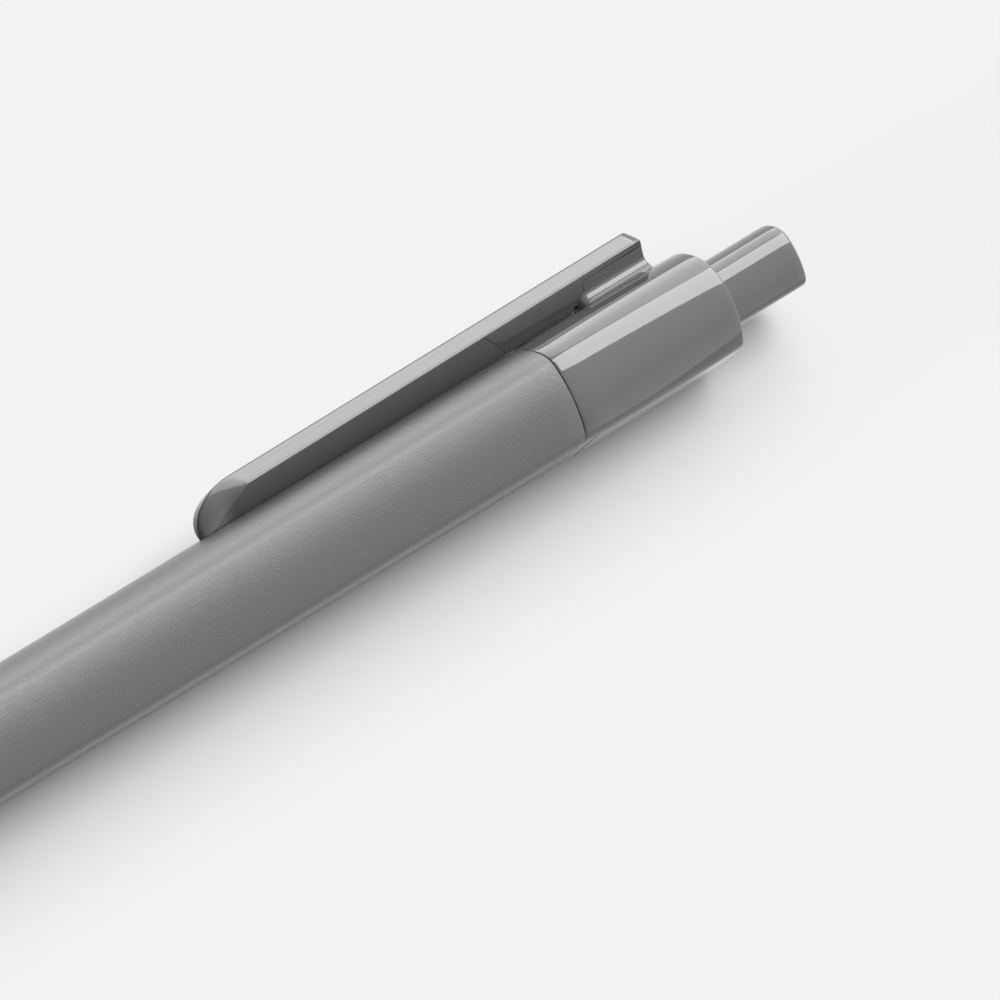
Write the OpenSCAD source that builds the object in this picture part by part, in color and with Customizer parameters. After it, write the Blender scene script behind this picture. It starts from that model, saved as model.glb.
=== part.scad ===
// Retractable ballpoint pen with a rounded three sided body, a clip casing and a push button.
// Lengths are millimetres. Pieces are drawn clip up along +X from the nose mouth, then laid on one side.

/* [Body length] */
// Nose mouth to the end of the push button, button out
overall_length = 142; // [141:0.5:144]
// Casing length from the seam to its rear end
casing_length = 18.8; // [18.4:0.2:19.4]
// Push button length that stands out of the casing
button_out = 9.2; // [8.8:0.2:9.8]
// Relief step each side of the seam
seam_step = 0.12; // [0.08:0.02:0.16]

/* [Barrel section] */
// Crown radius under the clip
crown_radius = 5.88; // [5.8:0.02:5.96]
// Turn of the crown arc, degrees
crown_turn = 46.4; // [46:0.2:46.8]
// Shoulder radius
shoulder_radius = 2.12; // [2.08:0.02:2.16]
// Radius of the gently arched sides
side_radius = 10.28; // [10.2:0.04:10.4]
// Turn of the side arc, degrees
side_turn = 33.4; // [33:0.2:33.8]
// Heel radius
heel_radius = 1.39; // [1.36:0.01:1.42]
// Direction of the flat the pen lies on, degrees from the clip
rest_turn = 104; // [103:0.5:105]
// Half the turn taken by that flat
rest_half_turn = 5; // [4.8:0.1:5.2]

/* [Casing end section] */
// Crown radius at the casing end
end_crown_radius = 4.85; // [4.8:0.01:4.9]
// Crown turn at the casing end, degrees
end_crown_turn = 49.3; // [49:0.1:49.6]
// Shoulder radius at the casing end
end_shoulder_radius = 3.41; // [3.38:0.01:3.44]
// Side radius at the casing end
end_side_radius = 7.14; // [7.1:0.02:7.2]
// Side turn at the casing end, degrees
end_side_turn = 47; // [46.8:0.1:47.2]
// Heel radius at the casing end
end_heel_radius = 1.14; // [1.12:0.01:1.16]

/* [Button section] */
// Crown radius of the button
button_crown_radius = 3.28; // [3.24:0.02:3.3]
// Crown turn of the button, degrees
button_crown_turn = 42.9; // [42.6:0.1:43.2]
// Shoulder radius of the button
button_shoulder_radius = 1.66; // [1.62:0.01:1.68]
// Side radius of the button
button_side_radius = 6.3; // [6.26:0.02:6.34]
// Side turn of the button, degrees
button_side_turn = 32.7; // [32.4:0.1:33]
// Heel radius of the button
button_heel_radius = 1.04; // [1.02:0.01:1.06]
// Gap between button and casing passage
passage_gap = 0.08; // [0.06:0.01:0.1]

/* [Nose and bores] */
// Length of the arched nose
nose_length = 30; // [29:0.5:31]
// Outer radius at the nose mouth
mouth_outer_radius = 1.9; // [1.8:0.05:2]
// Radius where the nose leaves the body
nose_root_radius = 5.45; // [5.42:0.01:5.55]
// Length of the mouth bore
mouth_length = 4; // [3.8:0.1:4.4]
// Where the spring seat lies
spring_seat = 12; // [11.6:0.1:12.4]
// Gap between refill and the bores that guide it
guide_gap = 0.09; // [0.07:0.01:0.1]
// Main bore radius
main_bore_radius = 3.1; // [3.05:0.01:3.15]

/* [Casing joint] */
// Radius of the casing plug that enters the barrel
plug_radius = 3.97; // [3.94:0.01:4]
// Length of that plug
plug_length = 6; // [5.6:0.1:6.4]
// Gap between plug and barrel socket
plug_gap = 0.03; // [0.02:0.01:0.05]
// Rear wall thickness of the casing
rear_wall = 1.6; // [1.5:0.05:1.8]

/* [Clip] */
// Clip width at its widest edges
clip_width = 3.84; // [3.76:0.02:3.92]
// Width of the flat outer face between the bevels
clip_face_width = 1.28; // [1.2:0.02:1.36]
// Height of the outer face above the axis at the root
clip_root_top = 8.3; // [8.2:0.05:8.4]
// Height of the outer face above the axis at the nose
clip_nose_top = 8.05; // [8:0.01:8.1]
// Height taken by the bevel at the root
bevel_root_drop = 1.36; // [1.32:0.02:1.4]
// Fall of the widest edges from root to nose, degrees
edge_fall = 0.5; // [0.4:0.05:0.6]
// How far the sides slant in below the widest edges, share of the height
slant_share = 0.74; // [0.7:0.01:0.76]
// Clip nose ahead of the seam
clip_overhang = 35; // [34:0.5:36]
// Length of the rounded clip nose
clip_nose_length = 5.5; // [5.2:0.1:5.8]
// Length over which the nose narrows, seen from above
nose_narrowing = 2.6; // [2.4:0.1:2.8]
// Rear end of the clip ahead of the casing end
clip_rear_inset = 2.6; // [2.4:0.1:2.8]
// Length of the clip root
root_length = 8.8; // [8.6:0.1:9]
// Gap between the sole of the clip and the crown at rest
clip_gap = 0.08; // [0.06:0.01:0.12]
// Width of the root where it is narrowest
root_neck_width = 2; // [1.9:0.05:2.1]
// Height of that narrow place above the crown
root_neck_height = 0.75; // [0.7:0.05:0.8]
// Foot flare each side of the root
root_flare = 0.85; // [0.8:0.05:0.9]
// Height of that flare
root_flare_height = 1.1; // [1.05:0.05:1.15]

/* [Push button works] */
// Flange radius at the foot of the button
flange_radius = 3.27; // [3.25:0.01:3.28]
// Flange thickness
flange_length = 1.9; // [1.8:0.1:2]
// Play behind the flange
flange_play = 0.05; // [0.03:0.01:0.06]
// Push stroke used by the movement
stroke = 5.5; // [5.3:0.1:5.6]
// Bore radius of the casing
casing_bore_radius = 3.34; // [3.33:0.01:3.36]
// Plunger body radius
plunger_radius = 2.05; // [2.02:0.01:2.06]
// Plunger length without its stud
plunger_length = 10.15; // [10:0.05:10.3]
// Stud radius in the button
stud_radius = 1.3; // [1.26:0.01:1.32]
// Stud length in the button
stud_length = 5.6; // [5.4:0.1:5.8]
// Gap round the stud
stud_gap = 0.03; // [0.02:0.01:0.04]
// Plunger bore radius
plunger_bore_radius = 1.16; // [1.14:0.01:1.18]
// Length of the plunger ribs
rib_length = 3.5; // [3.3:0.1:3.7]

/* [Cam works] */
// Sleeve outer radius
sleeve_radius = 3.31; // [3.3:0.005:3.32]
// Sleeve length
sleeve_length = 11.8; // [11.6:0.1:11.9]
// Sleeve front end ahead of the seam
sleeve_lead = 2.5; // [2.4:0.1:2.6]
// Sleeve inner radius
sleeve_bore_radius = 2.12; // [2.11:0.01:2.14]
// Groove radius in the sleeve
groove_radius = 2.7; // [2.68:0.01:2.74]
// Groove width
groove_width = 1; // [0.98:0.02:1.06]
// Number of grooves
groove_count = 4; // [4:1:4]
// Radius over ribs and splines
spline_radius = 2.62; // [2.6:0.01:2.64]
// Width of ribs and splines
spline_width = 0.84; // [0.8:0.02:0.88]
// Spline length on the rotor
spline_length = 3.2; // [3:0.1:3.4]
// Rotor head radius
rotor_radius = 2.04; // [2.02:0.01:2.06]
// Rotor head length
rotor_head_length = 6.5; // [6.3:0.1:6.7]
// Rotor rod radius
rod_radius = 1.85; // [1.7:0.05:1.9]
// Rotor pin radius
pin_radius = 1.1; // [1.09:0.01:1.11]
// Rotor pin length
pin_length = 4.5; // [4.2:0.1:4.8]
// Teeth on plunger crown and rotor
tooth_count = 8; // [8:1:8]
// Tooth height
tooth_height = 0.7; // [0.6:0.05:0.75]
// Gap between meshing teeth
tooth_gap = 0.05; // [0.04:0.01:0.06]
// Depth of the cam ends on the sleeve
cam_depth = 0.9; // [0.8:0.05:1]

/* [Refill] */
// Refill length
refill_length = 98.1; // [97.6:0.1:98.3]
// Ball set back inside the mouth with the button out
tip_setback = 1.2; // [1.1:0.05:1.3]
// Ball radius
ball_radius = 0.5; // [0.48:0.01:0.52]
// Gap round the ball
ball_gap = 0.015; // [0.012:0.001:0.018]
// Rim ahead of the ball centre
rim_lead = 0.15; // [0.13:0.01:0.17]
// Rim radius of the point
rim_radius = 0.62; // [0.61:0.01:0.64]
// Cone length of the point
cone_length = 3; // [2.9:0.1:3.2]
// Shank radius of the point
shank_radius = 1.15; // [1.12:0.01:1.18]
// Where the refill neck begins, from the refill front
neck_start = 9.8; // [9.6:0.1:10]
// Neck radius
neck_radius = 1.64; // [1.6:0.01:1.66]
// Where the refill body begins, from the refill front
body_start = 22.8; // [22.6:0.1:23]
// Refill body radius
body_radius = 2.95; // [2.93:0.01:2.97]
// Refill tube wall
tube_wall = 0.21; // [0.2:0.01:0.22]
// Neck collar thickness
collar_length = 1.2; // [1.1:0.1:1.3]
// Length of the plugs inside the tube
tube_plug_length = 4; // [3.8:0.1:4.2]
// Gap round plugs and ink
fill_gap = 0.02; // [0.015:0.005:0.025]
// Stud radius of the point
point_stud_radius = 0.85; // [0.83:0.01:0.87]
// Stud length of the point
point_stud_length = 4; // [3.8:0.1:4.2]
// Ink channel radius in the point
channel_radius = 0.3; // [0.28:0.01:0.32]
// Ink bore radius in the neck
neck_bore_radius = 1; // [0.98:0.01:1.02]
// Head length of the end plug
plug_head_length = 2; // [1.9:0.1:2.2]
// Vent radius of the end plug
vent_radius = 0.4; // [0.35:0.05:0.45]
// Filled length of ink in the tube
ink_length = 54; // [40:2:62]
// Gap between rotor and refill
seat_gap = 0.02; // [0.01:0.01:0.03]

/* [Spring] */
// Mean radius of the coil
coil_radius = 2.3; // [2.25:0.01:2.35]
// Wire radius
wire_radius = 0.22; // [0.2:0.01:0.24]
// Number of curls
curl_count = 8; // [7:1:9]

/* [Hidden] */
quarter = 90;
half_circle = 180;
full_circle = 360;
round_steps = 96;
$fn = round_steps;
arc_steps = 5;
nose_steps = 8;
cut_over = 0.4;
thin_step = 0.02;
plan_share = 1.02;
side_share = 0.5;
tooth_share = 0.5;
relief_share = 0.975;
rings_per_curl = 8;
wire_sides = 6;
seam_x = overall_length - button_out - casing_length;
casing_end_x = overall_length - button_out;
clip_rear_x = casing_end_x - clip_rear_inset;
clip_nose_x = seam_x - clip_overhang;
wall_inner_x = casing_end_x - rear_wall;
flange_rear_x = wall_inner_x - flange_play;
flange_front_x = flange_rear_x - flange_length;
plunger_front_x = flange_front_x - plunger_length;
sleeve_front_x = seam_x - sleeve_lead;
rotor_rear_x = plunger_front_x - tooth_gap;
rotor_head_x = rotor_rear_x - rotor_head_length;
refill_end_x = tip_setback + refill_length;
ball_x = tip_setback + ball_radius;
cone_front_x = ball_x - rim_lead;
neck_x = tip_setback + neck_start;
body_x = tip_setback + body_start;
tube_x = body_x + collar_length;
tube_end_x = refill_end_x - plug_head_length;
tube_bore_radius = body_radius - tube_wall;
stopper_radius = tube_bore_radius - fill_gap;
guide_radius = neck_radius + guide_gap;
mouth_radius = shank_radius + guide_gap;
seat_radius = ball_radius + ball_gap;
seat_x = ball_x + seat_radius * (sqrt(2) - 1);
clip_half = clip_width / 2;
face_half = clip_face_width / 2;
neck_half = root_neck_width / 2;
lay_turn = half_circle - rest_turn;

// Centres of the four arcs of a half section, measured from the top of the crown
function low_centre(r1, t1, r2) = [(r1 - r2) * sin(t1), (r1 - r2) * cos(t1) - r1];
function side_centre(r1, t1, r2, r3) = low_centre(r1, t1, r2) + [r2 - r3, 0];
function heel_centre(r1, t1, r2, r3, t3, r4) = side_centre(r1, t1, r2, r3)
  + (r3 - r4) * [sin(quarter + t3), cos(quarter + t3)];
// Shift that puts the axis at half the section height
function half_height(r1, t1, r2, r3, t3, r4) = (r4 - heel_centre(r1, t1, r2, r3, t3, r4)[1]) / 2;
// Points of one arc at a list of angles from the clip direction
function arc_at(c, r, angles) = [for (a = angles) [c[0] + r * sin(a), c[1] + r * cos(a)]];
// Angles spread from one value to another, first one left out
function spread(a, b, n) = [for (i = [1:n]) a + (b - a) * i / n];
// Side angles with one straight step left for the rest flat
function side_angles(t3) = concat(spread(quarter, rest_turn - rest_half_turn, 2), [rest_turn + rest_half_turn],
  spread(rest_turn + rest_half_turn, quarter + t3, 3));
// One half of a section, from just past the crown top to the bottom flat
function half_section(r1, t1, r2, r3, t3, r4) = concat(
  arc_at([0, -r1], r1, spread(0, t1, arc_steps)),
  arc_at(low_centre(r1, t1, r2), r2, spread(t1, quarter, arc_steps)),
  arc_at(side_centre(r1, t1, r2, r3), r3, side_angles(t3)),
  arc_at(heel_centre(r1, t1, r2, r3, t3, r4), r4, spread(quarter + t3, half_circle, arc_steps)));
// The other half, mirrored and in reverse order
function other_half(p) = [for (i = [len(p) - 1:-1:0]) [-p[i][0], p[i][1]]];
// A whole section about the axis
function lifted(p, h) = [for (q = p) q + [0, h]];
function whole(p, h) = lifted(concat([[0, 0]], p, other_half(p)), h);
function full_section(s) = whole(half_section(s[0], s[1], s[2], s[3], s[4], s[5]),
  half_height(s[0], s[1], s[2], s[3], s[4], s[5]));

body_arcs = [crown_radius, crown_turn, shoulder_radius, side_radius, side_turn, heel_radius];
end_arcs = [end_crown_radius, end_crown_turn, end_shoulder_radius, end_side_radius, end_side_turn,
  end_heel_radius];
button_arcs = [button_crown_radius, button_crown_turn, button_shoulder_radius, button_side_radius,
  button_side_turn, button_heel_radius];
passage_arcs = [button_crown_radius + passage_gap, button_crown_turn, button_shoulder_radius + passage_gap,
  button_side_radius + passage_gap, button_side_turn, button_heel_radius + passage_gap];
body_points = full_section(body_arcs);
end_points = full_section(end_arcs);
button_points = full_section(button_arcs);
passage_points = full_section(passage_arcs);
crown_z = half_height(crown_radius, crown_turn, shoulder_radius, side_radius, side_turn, heel_radius);
rest_centre = side_centre(crown_radius, crown_turn, shoulder_radius, side_radius) + [0, crown_z];
rest_distance = rest_centre * [sin(rest_turn), cos(rest_turn)] + side_radius * cos(rest_half_turn);
function laid_y(p) = p[0] * cos(lay_turn) + p[1] * sin(lay_turn);
low_y = min([for (p = body_points) laid_y(p)]);
high_y = laid_y([face_half, clip_root_top]);
sole_z = crown_z + clip_gap;

// Lays a piece that is drawn clip up on its rest flat and centres it
module laid() {
  translate([-overall_length / 2, -(low_y + high_y) / 2, rest_distance])
    rotate([-lay_turn, 0, 0])
      children();
}

// Round bar along the pen from one station to another
module bar(x0, x1, r) {
  translate([x0, 0, 0])
    rotate([0, quarter, 0])
      cylinder(h = x1 - x0, r = r);
}

// Cone along the pen
module cone(x0, x1, r0, r1) {
  translate([x0, 0, 0])
    rotate([0, quarter, 0])
      cylinder(h = x1 - x0, r1 = r0, r2 = r1);
}

// Straight prism of a section along the pen
module prism(x0, x1, points) {
  translate([x0, 0, 0])
    rotate([quarter, 0, quarter])
      linear_extrude(height = x1 - x0)
        polygon(points);
}

// Plate with a side view outline, centred across the pen
module plate(width, outline) {
  translate([0, width / 2, 0])
    rotate([quarter, 0, 0])
      linear_extrude(height = width)
        polygon(outline);
}

// Outward ridge or groove along the pen, at a turn about the axis
module fin(x0, x1, r, width, turn) {
  rotate([turn, 0, 0])
    translate([x0, -width / 2, 0])
      cube([x1 - x0, width, r]);
}

// Wedge that points to the rear, from the axis outward
module wedge(x0, height, half_width, reach, turn) {
  rotate([turn, 0, 0])
    linear_extrude(height = reach)
      polygon([[x0, -half_width], [x0 + height, 0], [x0, half_width]]);
}

// Body of the nose as a turned form that trims the section
module nose_turned() {
  rotate([0, quarter, 0])
    rotate_extrude()
      polygon(concat([[0, 0]],
        [for (i = [0:nose_steps])
          [mouth_outer_radius + (nose_root_radius - mouth_outer_radius) * sin(quarter * i / nose_steps),
            nose_length * i / nose_steps]],
        [[nose_root_radius, seam_x], [0, seam_x]]));
}

// Barrel: one moulding with nose, stepped bore and the socket for the casing
module barrel() {
  color([0.52, 0.54, 0.55])
    laid()
      difference() {
        intersection() {
          union() {
            prism(0, seam_x - seam_step, body_points);
            prism(seam_x - seam_step * 2, seam_x, body_points * relief_share);
          }
          nose_turned();
        }
        bar(-cut_over, mouth_length + cut_over, mouth_radius);
        bar(mouth_length, spring_seat + cut_over, guide_radius);
        bar(spring_seat, seam_x, main_bore_radius);
        bar(seam_x - plug_length - plug_gap, seam_x + cut_over, plug_radius + plug_gap);
      }
}

// Side view of the clip, plan view of the clip and cross-section of its bar
function nose_curve(x_front, length, low, high) = [for (i = [0:nose_steps])
  [x_front + length - length * sin(quarter * i / nose_steps), low + (high - low) * cos(quarter * i / nose_steps)]];
side_view = concat([[clip_rear_x, sole_z], [clip_rear_x, clip_root_top]],
  nose_curve(clip_nose_x, clip_nose_length, sole_z, clip_nose_top));
plan_half = concat([[clip_rear_x + cut_over, clip_half * plan_share]],
  nose_curve(clip_nose_x - thin_step, nose_narrowing, face_half, clip_half * plan_share));
plan_view = concat(plan_half, [for (i = [len(plan_half) - 1:-1:0]) [plan_half[i][0], -plan_half[i][1]]]);
edge_z = clip_root_top - bevel_root_drop;
apex_z = edge_z + bevel_root_drop * clip_half / (clip_half - face_half);
sole_half = clip_half - slant_share * (edge_z - crown_z);
bar_view = [[0, apex_z], [clip_half, edge_z], [sole_half, crown_z], [-sole_half, crown_z], [-clip_half, edge_z]];
neck_z = crown_z + root_neck_height;
foot_points = concat([[neck_half, edge_z - root_neck_height]],
  [for (i = [0:arc_steps]) [neck_half + root_flare * (1 - cos(quarter * i / arc_steps)),
    neck_z - root_flare_height * sin(quarter * i / arc_steps)]],
  [[neck_half + root_flare, 0]]);

// Clip blade: a bar with bevels outside and sides that slant in, rounded at its nose
module clip_blade() {
  intersection() {
    plate(clip_width * 2, side_view);
    translate([clip_rear_x, 0, edge_z])
      rotate([0, -edge_fall, 0])
        translate([-clip_rear_x, 0, -edge_z])
          prism(clip_nose_x - nose_narrowing, clip_rear_x + nose_narrowing, bar_view);
    linear_extrude(height = apex_z)
      polygon(plan_view);
  }
}

// Clip casing: body end and clip in one moulding, bored for the works, with a shaped passage for the button
module clip_casing() {
  color([0.42, 0.44, 0.45])
    laid()
      difference() {
        union() {
          hull() {
            prism(seam_x + seam_step, seam_x + seam_step * 2, body_points);
            prism(casing_end_x - seam_step, casing_end_x, end_points);
          }
          prism(seam_x, seam_x + seam_step * 2, body_points * relief_share);
          bar(seam_x - plug_length, seam_x + cut_over, plug_radius);
          clip_blade();
          prism(clip_rear_x - root_length, clip_rear_x - thin_step, concat(foot_points, other_half(foot_points)));
        }
        bar(seam_x - plug_length - cut_over, wall_inner_x, casing_bore_radius);
        prism(wall_inner_x - cut_over, casing_end_x + cut_over, passage_points);
      }
}

// Push button: shaped bar with a round flange that keeps it in the casing
module push_button() {
  color([0.45, 0.47, 0.48])
    laid()
      difference() {
        union() {
          prism(flange_rear_x - cut_over, overall_length, button_points);
          bar(flange_front_x, flange_rear_x, flange_radius);
        }
        bar(flange_front_x - cut_over, flange_front_x + stud_length + stud_gap, stud_radius + stud_gap);
      }
}

// Cam sleeve: fixed tube with inner grooves and pointed cam ends at its front
module cam_sleeve() {
  color([0.93, 0.93, 0.9])
    laid()
      difference() {
        bar(sleeve_front_x, sleeve_front_x + sleeve_length, sleeve_radius);
        bar(sleeve_front_x - cut_over, sleeve_front_x + sleeve_length + cut_over, sleeve_bore_radius);
        intersection() {
          bar(sleeve_front_x - cut_over, sleeve_front_x + sleeve_length + cut_over, groove_radius);
          union() {
            for (k = [0:groove_count - 1])
              fin(sleeve_front_x - cut_over, sleeve_front_x + sleeve_length + cut_over, sleeve_radius,
                groove_width, k * full_circle / groove_count);
          }
        }
        intersection() {
          bar(sleeve_front_x - cut_over, sleeve_front_x + cam_depth * 2, groove_radius);
          union() {
            for (k = [0:groove_count - 1])
              wedge(sleeve_front_x, cam_depth, groove_width, sleeve_radius,
                (k + side_share) * full_circle / groove_count);
          }
        }
      }
}

// Plunger: crown with tooth gaps, ribs for the sleeve grooves and a stud in the button
module plunger() {
  color([0.9, 0.9, 0.87])
    laid()
      difference() {
        union() {
          bar(plunger_front_x, flange_front_x, plunger_radius);
          bar(flange_front_x - cut_over, flange_front_x + stud_length, stud_radius);
          intersection() {
            bar(plunger_front_x, flange_front_x, spline_radius);
            union() {
              for (k = [0:groove_count - 1])
                fin(plunger_front_x + tooth_height, plunger_front_x + tooth_height + rib_length, groove_radius,
                  spline_width, k * full_circle / groove_count);
            }
          }
        }
        bar(plunger_front_x - cut_over, plunger_front_x + pin_length + cut_over, plunger_bore_radius);
        for (k = [0:tooth_count - 1])
          wedge(plunger_front_x, tooth_height, tooth_height * tooth_share, groove_radius,
            (k + side_share) * full_circle / tooth_count);
      }
}

// Cam rotor: rod that carries the refill, head with splines, meshing teeth and a centring pin
module cam_rotor() {
  color([0.86, 0.3, 0.2])
    laid()
      union() {
        bar(refill_end_x + seat_gap, rotor_head_x + cut_over, rod_radius);
        bar(rotor_head_x, rotor_rear_x, rotor_radius);
        bar(rotor_rear_x - cut_over, rotor_rear_x + pin_length, pin_radius);
        intersection() {
          bar(rotor_head_x, rotor_rear_x, spline_radius);
          union() {
            for (k = [0:groove_count - 1])
              fin(rotor_head_x + seam_step, rotor_head_x + seam_step + spline_length, groove_radius,
                spline_width, k * full_circle / groove_count);
          }
        }
        intersection() {
          bar(rotor_rear_x - cut_over, rotor_rear_x + tooth_height, rotor_radius);
          union() {
            for (k = [0:tooth_count - 1])
              wedge(rotor_rear_x - tooth_gap, tooth_height, tooth_height * tooth_share, groove_radius,
                (k + side_share) * full_circle / tooth_count);
          }
        }
      }
}

// Points of the coil wire, one ring after another
coil_rings = curl_count * rings_per_curl;
coil_front = spring_seat + wire_radius * 1.2;
coil_rear = body_x - wire_radius * 1.2;
function coil_x(i) = coil_front + (coil_rear - coil_front) * i / coil_rings;
function coil_point(i, j) = let (
    a = full_circle * i / rings_per_curl,
    b = full_circle * j / wire_sides,
    r = coil_radius + wire_radius * cos(b))
  [coil_x(i) + wire_radius * sin(b), r * cos(a), r * sin(a)];
coil_points = [for (i = [0:coil_rings]) for (j = [0:wire_sides - 1]) coil_point(i, j)];
function coil_id(i, j) = i * wire_sides + (j % wire_sides);
coil_faces = concat(
  [[for (j = [0:wire_sides - 1]) j]],
  [[for (j = [wire_sides - 1:-1:0]) coil_id(coil_rings, j)]],
  [for (i = [0:coil_rings - 1]) for (j = [0:wire_sides - 1])
    [coil_id(i, j), coil_id(i + 1, j), coil_id(i + 1, j + 1)]],
  [for (i = [0:coil_rings - 1]) for (j = [0:wire_sides - 1])
    [coil_id(i, j), coil_id(i + 1, j + 1), coil_id(i, j + 1)]]);
echo(curl_gap = (coil_rear - coil_front) / curl_count - wire_radius * 2);

// Return spring: wire coil between the barrel seat and the refill collar
module return_spring() {
  color([0.75, 0.76, 0.78])
    laid()
      polyhedron(points = coil_points, faces = coil_faces, convexity = 10);
}

// Refill tube: thin metal body
module refill_tube() {
  color([0.78, 0.79, 0.8])
    laid()
      difference() {
        bar(tube_x, tube_end_x, body_radius);
        bar(tube_x - cut_over, tube_end_x + cut_over, tube_bore_radius);
      }
}

// Refill end plug: stopper with a head and a vent
module refill_end_plug() {
  color([0.15, 0.25, 0.6])
    laid()
      difference() {
        union() {
          bar(tube_end_x, refill_end_x, body_radius);
          bar(tube_end_x - tube_plug_length, tube_end_x + seam_step, stopper_radius);
        }
        bar(tube_end_x - tube_plug_length - cut_over, refill_end_x + cut_over, vent_radius);
      }
}

// Refill neck: carries the point, with a collar for the spring and a plug in the tube
module refill_neck() {
  color([0.85, 0.86, 0.88])
    laid()
      difference() {
        union() {
          bar(neck_x, tube_x, neck_radius);
          bar(body_x, tube_x, body_radius);
          bar(tube_x - seam_step, tube_x + tube_plug_length, stopper_radius);
        }
        bar(neck_x - cut_over, neck_x + point_stud_length + cut_over, point_stud_radius + fill_gap);
        bar(neck_x + point_stud_length, tube_x + tube_plug_length + cut_over, neck_bore_radius);
      }
}

// Refill point: cone with the ball seat, shank and stud
module refill_point() {
  color([0.8, 0.65, 0.3])
    laid()
      difference() {
        union() {
          cone(cone_front_x, cone_front_x + cone_length, rim_radius, shank_radius);
          bar(cone_front_x + cone_length, neck_x, shank_radius);
          bar(neck_x - seam_step, neck_x + point_stud_length, point_stud_radius);
        }
        bar(0, seat_x, seat_radius);
        cone(seat_x, seat_x + seat_radius - channel_radius, seat_radius, channel_radius);
        bar(seat_x, neck_x + point_stud_length + cut_over, channel_radius);
      }
}

// Writing ball
module writing_ball() {
  color([0.7, 0.7, 0.72])
    laid()
      translate([ball_x, 0, 0])
        sphere(r = ball_radius);
}

// Ink: paste that fills the neck bore and most of the tube
module ink_column() {
  color([0.05, 0.1, 0.45])
    laid()
      union() {
        bar(neck_x + point_stud_length + seat_gap, tube_x + tube_plug_length + seat_gap * 2,
          neck_bore_radius - fill_gap);
        bar(tube_x + tube_plug_length + seat_gap, tube_x + tube_plug_length + ink_length, stopper_radius);
      }
}

barrel();
clip_casing();
push_button();
cam_sleeve();
plunger();
cam_rotor();
return_spring();
refill_tube();
refill_end_plug();
refill_neck();
refill_point();
writing_ball();
ink_column();
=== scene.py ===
import math

import bmesh
import bpy
from mathutils import Matrix, Vector


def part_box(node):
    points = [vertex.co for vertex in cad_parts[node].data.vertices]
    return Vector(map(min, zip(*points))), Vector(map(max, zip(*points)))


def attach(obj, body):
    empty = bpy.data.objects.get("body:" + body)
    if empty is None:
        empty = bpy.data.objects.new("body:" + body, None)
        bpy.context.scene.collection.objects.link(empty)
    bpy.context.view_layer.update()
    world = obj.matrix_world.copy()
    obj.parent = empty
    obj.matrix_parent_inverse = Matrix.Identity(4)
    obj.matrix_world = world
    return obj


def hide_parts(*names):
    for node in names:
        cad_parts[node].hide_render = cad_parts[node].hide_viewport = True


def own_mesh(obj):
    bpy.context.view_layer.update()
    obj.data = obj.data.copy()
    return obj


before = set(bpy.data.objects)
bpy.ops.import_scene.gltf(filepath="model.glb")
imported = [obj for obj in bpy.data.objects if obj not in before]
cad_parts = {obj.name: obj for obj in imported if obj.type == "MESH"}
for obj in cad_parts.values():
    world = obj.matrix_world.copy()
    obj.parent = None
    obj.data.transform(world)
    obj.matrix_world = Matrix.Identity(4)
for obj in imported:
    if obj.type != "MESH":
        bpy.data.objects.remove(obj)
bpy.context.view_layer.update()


# Barrel: one moulding of recycled ABS with its nose. It is hollow, with the socket for the casing at the
# rear, the refill bore, the spring seat and the mouth, and its outside keeps the grain of the eroded mould.
# The outsides of the body's pieces are drawn skin millimetres inside those of their solids.
skin = 0.02
nose_length, nose_mouth, nose_root = 30.0, 1.9, 5.45
mouth_round, mouth_round_length = 0.18, 0.35
seam_x, seam_round = 114.0, 0.16
socket_radius, socket_front = 4.0, 107.97
bore_radius, bore_middle, spring_seat = 3.1, 60.0, 12.0
guide_radius, mouth_length, mouth_radius = 1.73, 4.0, 1.24
nose_steps, barrel_steps = 60, 41

# The pen lies on one long side. Its pieces are drawn clip up along +X in millimetres from the nose mouth,
# and laid() turns such a point into the row frame, by the same turn and lift as the solids.
lay_turn = math.radians(76.0)
axis_height = (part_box("refill_tube")[0].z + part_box("refill_tube")[1].z) / 2
axis_side = (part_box("refill_tube")[0].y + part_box("refill_tube")[1].y) / 2
mouth_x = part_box("barrel")[0].x


def laid(x, y, z):
    """A drawn point in the row frame, in metres."""
    return Vector(
        (
            mouth_x + x / 1000,
            axis_side + (y * math.cos(lay_turn) + z * math.sin(lay_turn)) / 1000,
            axis_height + (z * math.cos(lay_turn) - y * math.sin(lay_turn)) / 1000,
        )
    )


# Outline across the pen: a crown under the clip, two shoulders, gently arched sides and two heels with a
# flat between, as tangent arcs with these radii in millimetres and turns in degrees. The lower side keeps the
# narrow flat that the pen lies on, rest_half_turn degrees to each side of rest_turn.
body_arcs = {
    "crown": 5.88, "crown_turn": 46.4, "shoulder": 2.12, "side": 10.28, "side_turn": 33.4, "heel": 1.39
}
rest_turn, rest_half_turn = 104.0, 5.0
crown_points, shoulder_points, side_points, heel_points, flat_points = 16, 14, 18, 12, 4


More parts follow.
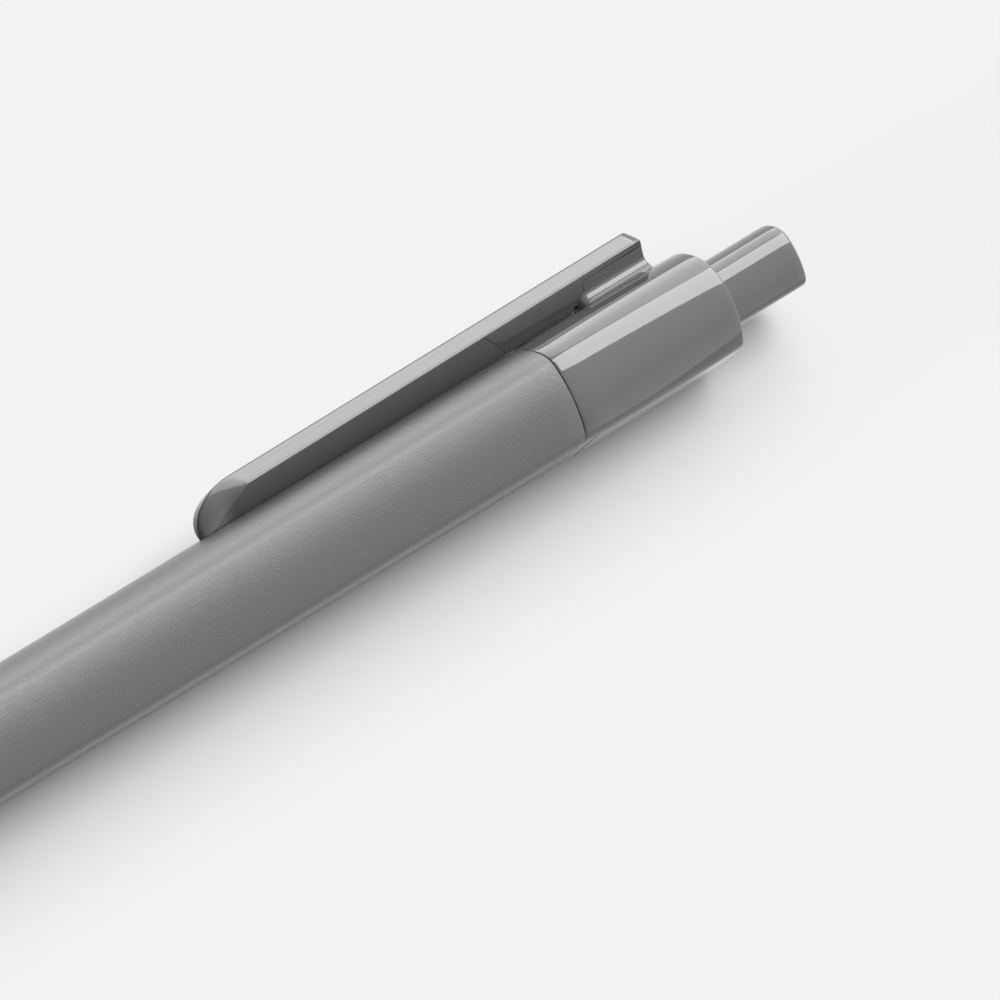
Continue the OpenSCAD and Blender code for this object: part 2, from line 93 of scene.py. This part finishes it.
def half_outline(arcs, inset, flat_side):
    """One half of a section, as points (across, up) from the crown's top to the middle of the flat."""
    crown, shoulder, side, heel = arcs["crown"], arcs["shoulder"], arcs["side"], arcs["heel"]
    crown_turn, side_turn = math.radians(arcs["crown_turn"]), math.radians(arcs["side_turn"])
    crown_centre = Vector((0.0, -crown))
    off_crown = crown - shoulder
    shoulder_centre = Vector((off_crown * math.sin(crown_turn), off_crown * math.cos(crown_turn) - crown))
    side_centre = shoulder_centre + Vector((shoulder - side, 0.0))
    heel_centre = side_centre + (side - heel) * Vector((math.cos(side_turn), -math.sin(side_turn)))
    lift = Vector((0.0, (heel - heel_centre.y) / 2))
    rest, half = math.radians(rest_turn), math.radians(rest_half_turn)
    side_end = math.pi / 2 + side_turn
    points = []
    for centre, radius, start, end, count in (
        (crown_centre, crown, 0.0, crown_turn, crown_points),
        (shoulder_centre, shoulder, crown_turn, math.pi / 2, shoulder_points),
        (side_centre, side, math.pi / 2, side_end, side_points),
        (heel_centre, heel, side_end, math.pi, heel_points),
    ):
        for i in range(count):
            turn = start + (end - start) * i / count
            reach = radius - inset
            if flat_side and centre is side_centre and abs(turn - rest) < half:
                reach *= math.cos(half) / math.cos(turn - rest)
            points.append(centre + lift + reach * Vector((math.sin(turn), math.cos(turn))))
    last = heel_centre + lift + Vector((0.0, inset - heel))
    for i in range(flat_points + 1):
        points.append(Vector((last.x * (1 - i / flat_points), last.y)))
    return points


def outline(arcs, inset=0.0):
    """A whole section, from the crown's top round the lower side and back."""
    lower = half_outline(arcs, inset, True)
    upper = half_outline(arcs, inset, False)
    return lower + [Vector((-p.x, p.y)) for p in reversed(upper[1:-1])]


def ring_of(points, radius):
    """A circle with one point in the direction of each point of a section."""
    return [p.normalized() * radius for p in points]


def edge_steps(x_face, radius, arcs, sign, inset):
    """Sections of a rounded edge where a section meets an end face; sign is +1 towards the rear end."""
    made = []
    steps = 6
    for i in range(steps + 1):
        turn = math.pi / 2 * i / steps
        x = x_face - sign * radius * (1 - math.sin(turn))
        made.append((x, outline(arcs, inset + radius * (1 - math.cos(turn)))))
    return made if sign > 0 else list(reversed(made))


def band(work, a, b):
    """Faces between two closed rows of points."""
    for i in range(len(a)):
        j = (i + 1) % len(a)
        work.faces.new((a[i], a[j], b[j], b[i]))


def finished(name, work, crease):
    """The piece of a drawn mesh, smooth but for edges that turn by more than crease degrees."""
    bmesh.ops.recalc_face_normals(work, faces=work.faces)
    mesh = bpy.data.meshes.new(name)
    work.to_mesh(mesh)
    work.free()
    for face in mesh.polygons:
        face.use_smooth = True
    mesh.set_sharp_from_angle(angle=math.radians(crease))
    made = bpy.data.objects.new(name, mesh)
    bpy.context.scene.collection.objects.link(made)
    return made


def loft(name, stations, closed):
    """A surface through sections given as (x, points); closed joins the last one to the first."""
    work = bmesh.new()
    rows = [[work.verts.new(laid(x, p.x, p.y)) for p in points] for x, points in stations]
    for a, b in zip(rows, rows[1:]):
        band(work, a, b)
    if closed:
        band(work, rows[-1], rows[0])
    else:
        work.faces.new(list(reversed(rows[0])))
        work.faces.new(rows[-1])
    return finished(name, work, crease=40.0)


# The nose trims the body's section to a circle, which narrows in a quarter sine curve to the mouth.
rear = outline(body_arcs, skin)
stations = []
for i in range(nose_steps + 1):
    x = skin + (nose_length - skin) * i / nose_steps
    limit = nose_mouth + (nose_root - nose_mouth) * math.sin(math.pi / 2 * x / nose_length) - skin
    limit -= mouth_round * max(0.0, 1 - x / mouth_round_length) ** 2
    stations.append((x, [p if p.length < limit else p.normalized() * limit for p in rear]))
for i in range(1, barrel_steps):
    x = nose_length + (seam_x - seam_round - nose_length) * i / barrel_steps
    stations.append((x, rear))
stations += edge_steps(seam_x, seam_round, body_arcs, 1, skin)
for x, radius in (
    (seam_x, socket_radius), (socket_front, socket_radius), (socket_front, bore_radius),
    (bore_middle, bore_radius), (spring_seat, bore_radius), (spring_seat, guide_radius),
    (mouth_length, guide_radius), (mouth_length, mouth_radius), (skin, mouth_radius),
):
    stations.append((x, ring_of(rear, radius)))
barrel = loft("barrel_shell", stations, closed=True)
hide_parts("barrel")
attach(barrel, "housing")


def linear(code):
    """A colour written as sRGB hex, in linear light for the shader."""
    parts = [int(code[i : i + 2], 16) / 255 for i in (1, 3, 5)]
    return [c / 12.92 if c <= 0.04045 else ((c + 0.055) / 1.055) ** 2.4 for c in parts] + [1.0]


def add(tree, kind, settings=None, links=None):
    """One node with its own settings, and links from other nodes' outputs into its inputs."""
    made = tree.nodes.new(kind)
    for key, value in (settings or {}).items():
        if hasattr(made, key):
            setattr(made, key, value)
        else:
            made.inputs[key].default_value = value
    for key, source in (links or {}).items():
        tree.links.new(source, made.inputs[key])
    return made


def new_material(name, settings):
    """A material with one shader of these settings, and its tree and shader."""
    made = bpy.data.materials.new(name)
    made.use_nodes = True
    made.node_tree.nodes.clear()
    shader = add(made.node_tree, "ShaderNodeBsdfPrincipled", settings)
    add(made.node_tree, "ShaderNodeOutputMaterial", None, {"Surface": shader.outputs["BSDF"]})
    return made, made.node_tree, shader


# ABS moulded against a spark eroded face: the grain blurs a highlight into a soft glow with fine specks.
# The real grain is finer than the picture shows, so it is drawn coarser, a tenth of a millimetre wide.
grains_per_mm, grain_depth = 9.5, 0.038
barrel_look, tree, shader = new_material(
    "recycled ABS, eroded grain",
    {"Base Color": linear("#393939"), "Roughness": 0.30, "IOR": 1.5, "Specular IOR Level": 0.5},
)
where = add(tree, "ShaderNodeTexCoord")
grain = add(
    tree,
    "ShaderNodeTexNoise",
    {"Scale": grains_per_mm * 1000, "Detail": 2.0, "Roughness": 0.5},
    {"Vector": where.outputs["Object"]},
)
relief = add(
    tree,
    "ShaderNodeBump",
    {"Strength": 0.8, "Distance": grain_depth / 1000},
    {"Height": grain.outputs["Fac"]},
)
tree.links.new(relief.outputs["Normal"], shader.inputs["Normal"])
barrel.data.materials.append(barrel_look)


# Casing: the body's rear end, one polished ABS moulding with the clip. It narrows a little to its rear
# face, where the button comes out of a shaped passage. Its plug sits in the barrel's socket, and its
# bore holds the works.
casing_end_arcs = {
    "crown": 4.85, "crown_turn": 49.3, "shoulder": 3.41, "side": 7.14, "side_turn": 47.0, "heel": 1.14
}
passage_arcs = {
    "crown": 3.36, "crown_turn": 42.9, "shoulder": 1.74, "side": 6.38, "side_turn": 32.7, "heel": 1.12
}
casing_end, casing_round = 132.8, 0.2
crown_drop, crown_reach = 0.05, 1.6
passage_front = 131.2
works_radius, works_middle = 3.34, 123.3
plug_radius, plug_front = 3.97, 108.0
crown_steps, casing_steps = 12, 24
# The front edge is drawn in by crown_drop, which fades out over crown_reach.
stations = edge_steps(seam_x, seam_round, body_arcs, -1, skin + crown_drop)
for i in range(2, crown_steps + 1):
    x = crown_reach * i / crown_steps
    stations.append((seam_x + x, outline(body_arcs, skin + crown_drop * (1 - x / crown_reach) ** 2)))
for i in range(2, casing_steps):
    share = i / casing_steps
    arcs = {name: size + (casing_end_arcs[name] - size) * share for name, size in body_arcs.items()}
    stations.append((seam_x + (casing_end - seam_x) * share, outline(arcs, skin)))
stations += edge_steps(casing_end, casing_round, casing_end_arcs, 1, skin)
passage = outline(passage_arcs)
stations += [(casing_end, passage), (passage_front, passage)]
for x, radius in (
    (passage_front, works_radius), (works_middle, works_radius), (plug_front, works_radius),
    (plug_front, plug_radius), (seam_x, plug_radius),
):
    stations.append((x, ring_of(passage, radius)))
casing = loft("casing_shell", stations, closed=True)

# ABS moulded against a polished face: clear reflections that waver a little where the wall has sunk.
wave_width, wave_depth = 6.25, 0.05
gloss_look, tree, shader = new_material(
    "recycled ABS, polished",
    {"Base Color": linear("#3a3a3a"), "Roughness": 0.05, "IOR": 1.5, "Specular IOR Level": 0.5},
)
where = add(tree, "ShaderNodeTexCoord")
waves = add(
    tree,
    "ShaderNodeTexNoise",
    {"Scale": 1000 / wave_width, "Detail": 1.0, "Roughness": 0.4},
    {"Vector": where.outputs["Object"]},
)
relief = add(
    tree,
    "ShaderNodeBump",
    {"Strength": 0.06, "Distance": wave_depth / 1000},
    {"Height": waves.outputs["Fac"]},
)
tree.links.new(relief.outputs["Normal"], shader.inputs["Normal"])
casing.data.materials.append(gloss_look)
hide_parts("clip_casing")
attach(casing, "housing")


# Clip: part of the casing's moulding. Its outer face is flat with a bevel along each side, and below its
# widest edges the sides slant in towards the body. The nose is rounded down to the barrel's crown.
clip_rear, clip_nose, clip_half = 130.2, 79.0, 1.92
sole_z = 4.775
root_top, nose_top, nose_turn = 8.3, 8.05, 5.5
edge_root, edge_nose = 7.0, 6.62
edge_start, edge_turn = 5.9, 2.2
slant = 0.74
length_steps, turn_steps, bevel_steps = 40, 28, 24


def side_line(start, reach, root_z, nose_z):
    """Side view of one of the clip's long lines, rear end first, with its turn down at the nose."""
    made = []
    for i in range(length_steps + 1):
        share = i / length_steps
        made.append((clip_rear + (clip_nose + start - clip_rear) * share, root_z + (nose_z - root_z) * share))
    for i in range(1, turn_steps + 1):
        turn = math.pi / 2 * i / turn_steps
        made.append((clip_nose + start - reach * math.sin(turn), sole_z + (nose_z - sole_z) * math.cos(turn)))
    return made


def side_y(x, z):
    """Half width of the slanting side face at a height."""
    length = clip_rear - clip_nose - edge_start
    edge = edge_root + (edge_nose - edge_root) * min(1.0, (clip_rear - x) / length)
    return clip_half - slant * max(0.0, edge - z)


# The cross section runs from the middle of the outer face over the bevel to the side. Each point has its
# half width, its share of the way from the outer line to the widest edge, and how far the bevel's wall
# sinks or swells there. The sinking fades out towards the root.
bevel_top, bevel_top_share = 0.76, 0.10
bevel_width, bevel_share = 0.98, 0.76
sink_depth, sink_across, sink_down = 0.0022, 0.7, 0.5
sink_start, sink_reach = 16.0, 22.0
sink_count, sink_phase = 2, 0.1
section = [(y, share, 0.0) for y, share in ((0.0, 0.0), (0.4, 0.0), (0.52, 0.0), (0.6, 0.02), (0.68, 0.055))]
section.append((bevel_top, bevel_top_share, 0.0))
for i in range(1, bevel_steps + 1):
    step = i / bevel_steps
    sink = math.sin(2 * math.pi * sink_count * (step - sink_phase))
    section.append((bevel_top + bevel_width * step, bevel_top_share + bevel_share * step, sink))
for y, share in ((1.795, 0.90), (1.845, 0.94), (1.87, 0.98), (1.875, 1.03), (1.86, 1.08)):
    section.append((y, share, 0.0))

# Rows of such sections from the rear end to the nose, where the outer face narrows to a ridge. The rear
# end is cut flat, with a small round towards its middle height.
nose_narrow, ridge_share = 2.6, 0.04
end_round, end_draw, end_middle, end_steps = 0.22, 0.12, 6.1, 6
rows = []
outer_line = side_line(nose_turn, nose_turn, root_top, nose_top)
edge_line = side_line(edge_start, edge_turn, edge_root, edge_nose)
for (outer_x, outer_z), (edge_x, edge_z) in zip(outer_line, edge_line):
    fade = min(1.0, max(0.0, (clip_rear - sink_start - outer_x) / sink_reach))
    row = []
    for y, share, sink in section:
        y += sink_across * sink_depth * fade * sink
        share -= sink_down * sink_depth * fade * sink
        x = outer_x + share * (edge_x - outer_x)
        if not rows:
            x = clip_rear
        ahead = min(1.0, max(0.0, (clip_nose + nose_narrow - x) / nose_narrow))
        y *= (side_y(x, edge_z) / clip_half) ** min(1.0, share)
        y *= ridge_share + (1 - ridge_share) * math.sqrt(1 - ahead**2)
        row.append((x, y, outer_z + share * (edge_z - outer_z)))
    if rows:
        rows.append(row)
    else:
        for i in range(end_steps):
            turn = math.pi / 2 * i / end_steps
            draw = end_draw * (1 - math.sin(turn))
            back = end_round * (1 - math.cos(turn))
            rows.append([(x - back, y * (1 - draw), z - draw * (z - end_middle)) for x, y, z in row])

# The under side, as (ahead of the rear end, height), has a hollow in front of the root.
under_line = ((8.7, sole_z), (8.5, 5.05), (8.1, 5.2), (7.8, 5.1), (7.8, 4.5), (0.0, 4.5))
sole_front = 3.9
under = [(clip_nose + sole_front, sole_z)] + [(clip_rear - x, z) for x, z in under_line]
work = bmesh.new()
points, sides = {}, {}
for side in (1, -1):
    grid = []
    for row in rows:
        line = []
        for x, y, z in row:
            key = (round(x, 5), round(y * side, 5), round(z, 5))
            if key not in points:
                points[key] = work.verts.new(laid(x, y * side, z))
            line.append(points[key])
        grid.append(line)
    for a, b in zip(grid, grid[1:]):
        for j in range(len(section) - 1):
            corners = (a[j], a[j + 1], b[j + 1], b[j])
            if len(set(corners)) == 4:
                work.faces.new(corners)
    low = [work.verts.new(laid(x, side * side_y(x, z), z)) for x, z in under]
    rim = [work.verts.new(line[-1].co) for line in grid]
    work.faces.new(rim + low)
    sides[side] = (grid, low)
(grid_plus, low_plus), (grid_minus, low_minus) = sides[1], sides[-1]
work.faces.new(grid_minus[-1][:0:-1] + grid_plus[-1] + [low_plus[0], low_minus[0]])
for i in range(len(under) - 1):
    work.faces.new((low_plus[i], low_plus[i + 1], low_minus[i + 1], low_minus[i]))
work.faces.new(grid_minus[0][:0:-1] + grid_plus[0] + [low_plus[-1], low_minus[-1]])
clip = finished("clip_blade", work, crease=26.0)
clip.data.materials.append(gloss_look)
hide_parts("clip_casing")
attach(clip, "housing")


# Clip root: the same moulding's neck under the clip. It flares at its foot with a hollow round fillet into
# the casing's crown, and is cut flat at the rear together with the clip.
neck_half, neck_foot = 1.0, 5.52
flare_width, flare_height, flare_steps = 0.86, 1.1, 12
half_section = [(1.62, 6.5), (1.22, 5.96), (1.08, 5.74)]
for i in range(flare_steps + 1):
    turn = math.pi / 2 * i / flare_steps
    y = neck_half + flare_width * (1 - math.cos(turn))
    half_section.append((y, neck_foot - flare_height * math.sin(turn)))
half_section.append((1.98, 4.3))
# Along the clip, as (ahead of the clip's rear end, share by which the root is narrower there).
root_line = (
    (7.95, 0.55), (7.85, 0.4), (7.7, 0.26), (7.45, 0.12), (7.1, 0.03), (6.7, 0.0), (4.4, 0.0), (0.15, 0.0),
    (0.05, 0.06),
)
whole_section = half_section + [(-y, z) for y, z in reversed(half_section)]
work = bmesh.new()
columns = []
for x, share in root_line:
    columns.append([work.verts.new(laid(clip_rear - x, y * (1 - share), z)) for y, z in whole_section])
for a, b in zip(columns, columns[1:]):
    band(work, a, b)
work.faces.new(columns[0])
work.faces.new(list(reversed(columns[-1])))
root = finished("clip_root", work, crease=30.0)
root.data.materials.append(gloss_look)
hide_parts("clip_casing")
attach(root, "housing")


# Push button: one polished ABS moulding of the body's section at a smaller size. A round flange holds it
# inside the casing, and the plunger's stud is pressed into its bore.
button_arcs = {
    "crown": 3.28, "crown_turn": 42.9, "shoulder": 1.66, "side": 6.30, "side_turn": 32.7, "heel": 1.04
}
button_end, button_round = 142.0, 0.3
flange_front, flange_rear, flange_radius = 129.25, 131.15, 3.26
stud_end, stud_radius, stud_tip = 134.9, 1.33, 0.3
button_steps = 12
shape = outline(button_arcs, skin)
stations = [
    (stud_end, ring_of(shape, stud_tip)), (stud_end, ring_of(shape, stud_radius)),
    (flange_front, ring_of(shape, stud_radius)), (flange_front, ring_of(shape, flange_radius)),
    (flange_rear, ring_of(shape, flange_radius)), (flange_rear, shape),
]
for i in range(1, button_steps):
    stations.append((flange_rear + (button_end - button_round - flange_rear) * i / button_steps, shape))
stations += [(x - skin, points) for x, points in edge_steps(button_end, button_round, button_arcs, 1, skin)]
button = loft("button_shell", stations, closed=False)
button.data.materials.append(gloss_look)
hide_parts("push_button")
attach(button, "button")


# Click works: the guide sleeve fixed in the casing, the plunger pressed into the button, and the rotor that
# pushes the refill. They are small acetal mouldings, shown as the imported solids.
def dress(node, name, settings):
    """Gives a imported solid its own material."""
    made, _, _ = new_material(name, settings)
    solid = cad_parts[node]
    solid.data.materials.clear()
    solid.data.materials.append(made)


# Moulded acetal is waxy: a milky body colour, or a full one where it is tinted, with a soft sheen.
dress("cam_sleeve", "acetal, moulded white", {"Base Color": linear("#ecece6"), "Roughness": 0.35})
dress("plunger", "acetal, moulded white, plunger", {"Base Color": linear("#e6e6df"), "Roughness": 0.35})
dress("cam_rotor", "acetal, moulded red", {"Base Color": linear("#c0392b"), "Roughness": 0.35})


# Refill: a drawn steel tube of paste ink, closed by a stopper at the rear. At the front a turned neck with
# the spring's collar holds the turned brass point, and a ground ball turns in its seat.

# Drawn steel has a bright, slightly blurred sheen.
dress(
    "refill_tube",
    "drawn steel tube",
    {"Base Color": linear("#c9cacc"), "Metallic": 1.0, "Roughness": 0.28},
)
# Moulded polypropylene is evenly coloured with a smooth skin.
dress("refill_end_plug", "polypropylene, moulded blue", {"Base Color": linear("#2a3f93"), "Roughness": 0.3})
# Turned metal has a sharper sheen than the drawn tube.
dress("refill_neck", "turned steel", {"Base Color": linear("#cfd0d1"), "Metallic": 1.0, "Roughness": 0.2})
dress("refill_point", "turned brass", {"Base Color": linear("#d2b572"), "Metallic": 1.0, "Roughness": 0.2})
# Ground carbide is the smoothest of them, nearly a grey mirror.
dress("writing_ball", "ground carbide", {"Base Color": linear("#a9abad"), "Metallic": 1.0, "Roughness": 0.1})
# Ink paste is nearly black in the mass, with a wet gloss.
dress("ink_column", "ink paste", {"Base Color": linear("#101c5e"), "Roughness": 0.15})


# Return spring: a coil of drawn steel wire between the barrel's seat and the refill's collar. In the pen
# it shortens towards its seat by as much as the refill goes forward; here it is drawn at one length.
wire_radius, coil_radius, curls = 0.22, 2.3, 8
steps_per_curl, wire_steps = 24, 10
coil_front = (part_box("return_spring")[0].x - mouth_x) * 1000 + wire_radius
coil_rear = (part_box("return_spring")[1].x - mouth_x) * 1000 - wire_radius
coil_steps = curls * steps_per_curl
work = bmesh.new()
rings = []
for i in range(coil_steps + 1):
    x = coil_front + (coil_rear - coil_front) * i / coil_steps
    turn = 2 * math.pi * i / steps_per_curl
    ring = []
    for j in range(wire_steps):
        roll = 2 * math.pi * j / wire_steps
        reach = coil_radius + wire_radius * math.cos(roll)
        place = laid(x + wire_radius * math.sin(roll), reach * math.cos(turn), reach * math.sin(turn))
        ring.append(work.verts.new(place))
    rings.append(ring)
for a, b in zip(rings, rings[1:]):
    band(work, a, b)
work.faces.new(rings[0])
work.faces.new(list(reversed(rings[-1])))
spring = finished("spring_wire", work, crease=50.0)

# Drawn wire: bright steel with narrow, soft highlights.
wire_look, _, _ = new_material(
    "drawn steel wire", {"Base Color": linear("#c4c6c8"), "Metallic": 1.0, "Roughness": 0.22}
)
spring.data.materials.append(wire_look)
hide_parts("return_spring")
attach(spring, "housing")
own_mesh(spring)


# Floor: a pale seamless sweep of paper. The camera sees it as one even pale tone, except in a strip under
# the pen and in front of it, where it shows the pen's soft shadow.
floor_size, floor_drop = 14.0, 0.00001
bpy.ops.mesh.primitive_plane_add(size=floor_size, location=(0, 0, -floor_drop))
floor = bpy.context.object
floor.name = "floor"

# Uncoated paper: no shine at all. Its colour differs for the camera and for the light that it throws back.
floor_look, tree, shader = new_material(
    "pale sweep", {"Base Color": linear("#cccccc"), "Roughness": 0.9, "Specular IOR Level": 0.0}
)
seen = add(tree, "ShaderNodeLightPath")
tone = add(tree, "ShaderNodeMix", {"data_type": "RGBA"}, {"Factor": seen.outputs["Is Camera Ray"]})
first_colour, second_colour, mixed_colour = 6, 7, 2
tone.inputs[first_colour].default_value = linear("#cecece")
tone.inputs[second_colour].default_value = linear("#acacac")
tree.links.new(tone.outputs[mixed_colour], shader.inputs["Base Color"])
# Across the pen, in metres: the strip ends softly behind it and in front of it.
shade_behind, even_behind = 0.001, 0.008
shade_front, even_front = -0.008, -0.02
where = add(tree, "ShaderNodeNewGeometry")
place = add(tree, "ShaderNodeSeparateXYZ", None, {"Vector": where.outputs["Position"]})
behind = add(
    tree,
    "ShaderNodeMapRange",
    {"interpolation_type": "SMOOTHSTEP", "From Min": shade_behind, "From Max": even_behind},
    {"Value": place.outputs["Y"]},
)
in_front = add(
    tree,
    "ShaderNodeMapRange",
    {"interpolation_type": "SMOOTHSTEP", "From Min": shade_front, "From Max": even_front},
    {"Value": place.outputs["Y"]},
)
clear = add(
    tree,
    "ShaderNodeMath",
    {"operation": "MAXIMUM"},
    {0: behind.outputs["Result"], 1: in_front.outputs["Result"]},
)
even = add(
    tree,
    "ShaderNodeMath",
    {"operation": "MULTIPLY"},
    {0: clear.outputs["Value"], 1: seen.outputs["Is Camera Ray"]},
)
even_tone = add(tree, "ShaderNodeEmission", {"Color": linear("#f2f2f2"), "Strength": 1.0})
mixed = add(
    tree,
    "ShaderNodeMixShader",
    None,
    {0: even.outputs["Value"], 1: shader.outputs["BSDF"], 2: even_tone.outputs["Emission"]},
)
tree.links.new(mixed.outputs["Shader"], tree.nodes["Material Output"].inputs["Surface"])
floor.data.materials.append(floor_look)


# Camera: a long lens from the tip side, about 50 degrees up, rolled so that the pen rises to the right.
# The pen's slope in the picture is given by its cosine and sine.
theta, roll_up = math.radians(35.6), math.radians(19.0)
slope_right, slope_up = 0.8536, 0.5210
aim_x, aim_across = 105.83, 0.0049
camera_distance, half_view, sensor = 3.0, 0.040, 36.0
toward = Vector((0.0, -math.sin(roll_up), math.cos(roll_up)))
across = Vector((0.0, math.cos(roll_up), math.sin(roll_up)))
view = toward * math.cos(theta) - Vector((math.sin(theta), 0.0, 0.0))
along = toward * math.sin(theta) + Vector((math.cos(theta), 0.0, 0.0))
up = along * slope_up + across * slope_right
right = along * slope_right - across * slope_up
aim = laid(aim_x, 0.0, 0.0) - across * aim_across
eye = aim + view * camera_distance
camera_data = bpy.data.cameras.new("camera")
camera_data.sensor_width = sensor
camera_data.lens = sensor / 2 / (half_view / camera_distance)
camera_data.clip_start = 0.05
camera_data.clip_end = 50.0
camera = bpy.data.objects.new("camera", camera_data)
camera.matrix_world = Matrix(
    (
        (right.x, up.x, view.x, eye.x),
        (right.y, up.y, view.y, eye.y),
        (right.z, up.z, view.z, eye.z),
        (0, 0, 0, 1),
    )
)
bpy.context.scene.collection.objects.link(camera)
bpy.context.scene.camera = camera


# Light: a softbox overhead towards the button end for the bright band, a broad low light behind the pen, a
# weak strip that is linked to the clip alone, and a room with one bright side. The floor lights the lower
# side of the pen.
def softbox(name, direction, distance, width, height, power):
    """A rectangular light in watts, so many metres from the pen, turned to it."""
    data = bpy.data.lights.new(name, "AREA")
    data.shape = "RECTANGLE"
    data.size, data.size_y = width, height
    data.energy = power
    made = bpy.data.objects.new(name, data)
    made.location = aim + direction.normalized() * distance
    made.rotation_euler = (-direction).to_track_quat("-Z", "Y").to_euler()
    bpy.context.scene.collection.objects.link(made)
    return made


softbox("top softbox", Vector((0.6, 0.0696, 0.7974)), distance=6.0, width=3.67, height=2.8, power=258.0)
softbox("back wall light", Vector((0.6, 0.7086, 0.3714)), distance=4.4, width=3.4, height=3.5, power=94.0)
strip = softbox("low strip", Vector((0.6, 0.777, 0.191)), distance=4.4, width=3.0, height=0.6, power=4.0)
lit = bpy.data.collections.new("lit by the low strip")
lit.objects.link(clip)
strip.light_linking.receiver_collection = lit

# The room is brightest towards the button end and above, and has a pale band at the horizon.
world = bpy.data.worlds.new("room")
bpy.context.scene.world = world
world.use_nodes = True
tree = world.node_tree
room = tree.nodes["Background"]
room.inputs["Color"].default_value = linear("#ffffff")
where = add(tree, "ShaderNodeTexCoord")
toward_key = add(tree, "ShaderNodeVectorMath", {"operation": "DOT_PRODUCT"}, {0: where.outputs["Generated"]})
toward_key.inputs[1].default_value = (0.84, 0.09, 0.53)
falloff = add(
    tree,
    "ShaderNodeMapRange",
    {"From Min": 0.1, "From Max": 0.95, "To Min": 0.15, "To Max": 3.2},
    {"Value": toward_key.outputs["Value"]},
)
height = add(tree, "ShaderNodeSeparateXYZ", None, {"Vector": where.outputs["Generated"]})
horizon = add(
    tree,
    "ShaderNodeMapRange",
    {"From Min": 0.0, "From Max": 0.4, "To Min": 0.9, "To Max": 0.0},
    {"Value": height.outputs["Z"]},
)
level = add(
    tree, "ShaderNodeMath", {"operation": "ADD"}, {0: falloff.outputs["Result"], 1: horizon.outputs["Result"]}
)
tree.links.new(level.outputs["Value"], room.inputs["Strength"])
bpy.context.scene.view_settings.view_transform = "Standard"
